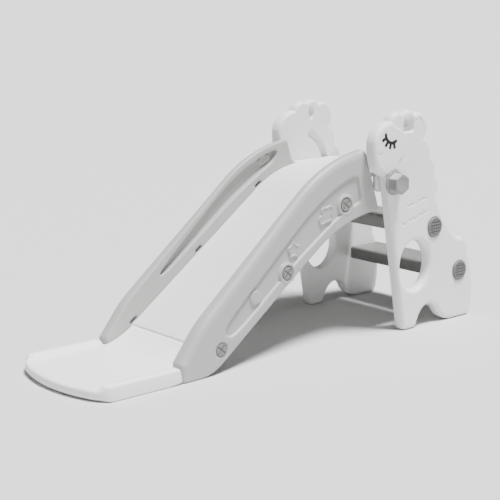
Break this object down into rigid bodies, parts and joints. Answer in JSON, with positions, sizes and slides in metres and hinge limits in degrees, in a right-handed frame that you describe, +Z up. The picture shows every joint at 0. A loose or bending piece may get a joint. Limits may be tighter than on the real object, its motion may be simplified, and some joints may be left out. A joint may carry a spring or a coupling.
{
  "type": "toddler slide",
  "caption": "Folding toddler slide with animal-shaped side panels, two steps, a railed chute and a wide run-out.",
  "frame": {"origin": "on the floor, under the centre of the overall box", "axes": "+Z up; the slide runs out towards -X and is climbed from +X; +Y is the left side seen from the exit"},
  "size_m": [1.4032, 0.5292, 0.6592],
  "materials": {
    "panel": "satin white blow-moulded polyethylene",
    "rail": "satin light grey blow-moulded polyethylene",
    "bed": "smooth satin off-white polyethylene",
    "runout": "satin white polyethylene",
    "step": "satin mid grey polyethylene with a raised tread",
    "knob": "satin grey polypropylene",
    "fastener": "satin grey polypropylene",
    "screw": "satin grey polypropylene",
    "bush": "natural acetal",
    "steel": "zinc-plated steel",
    "decal": "black printed film"
  },
  "bodies": {
    "ladder": {"side_panel_left": "panel", "side_panel_right": "panel", "hinge_bush_left": "bush", "hinge_bush_right": "bush", "eye_decal_left": "decal", "eye_decal_right": "decal", "step_bolt_lower_left": "fastener", "step_bolt_lower_right": "fastener", "step_bolt_upper_left": "fastener", "step_bolt_upper_right": "fastener", "step_lower": "step", "step_upper": "step"},
    "chute": {"chute_bed": "bed", "run_out": "runout", "rail_left": "rail", "rail_right": "rail", "hinge_nut_left": "steel", "hinge_nut_right": "steel", "guide_peg_left": "fastener", "guide_peg_right": "fastener", "rail_screw_foot_left": "screw", "rail_screw_foot_right": "screw", "rail_screw_mid_left": "screw", "rail_screw_mid_right": "screw", "rail_screw_top_left": "screw", "rail_screw_top_right": "screw"},
    "knob_left": {"knob_left": "knob", "knob_bolt_left": "steel"},
    "knob_right": {"knob_right": "knob", "knob_bolt_right": "steel"}
  },
  "joints": [
    {"name": "chute_fold", "type": "hinge", "parent": "ladder", "child": "chute", "pos_m": [0.3425, 0, 0.453], "axis": [0, -1, 0], "range_deg": [0, 60]},
    {"name": "knob_left_turn", "type": "hinge", "parent": "ladder", "child": "knob_left", "pos_m": [0.3425, 0.25, 0.453], "axis": [0, 1, 0], "continuous": true},
    {"name": "knob_right_turn", "type": "hinge", "parent": "ladder", "child": "knob_right", "pos_m": [0.3425, -0.25, 0.453], "axis": [0, -1, 0], "continuous": true}
  ]
}
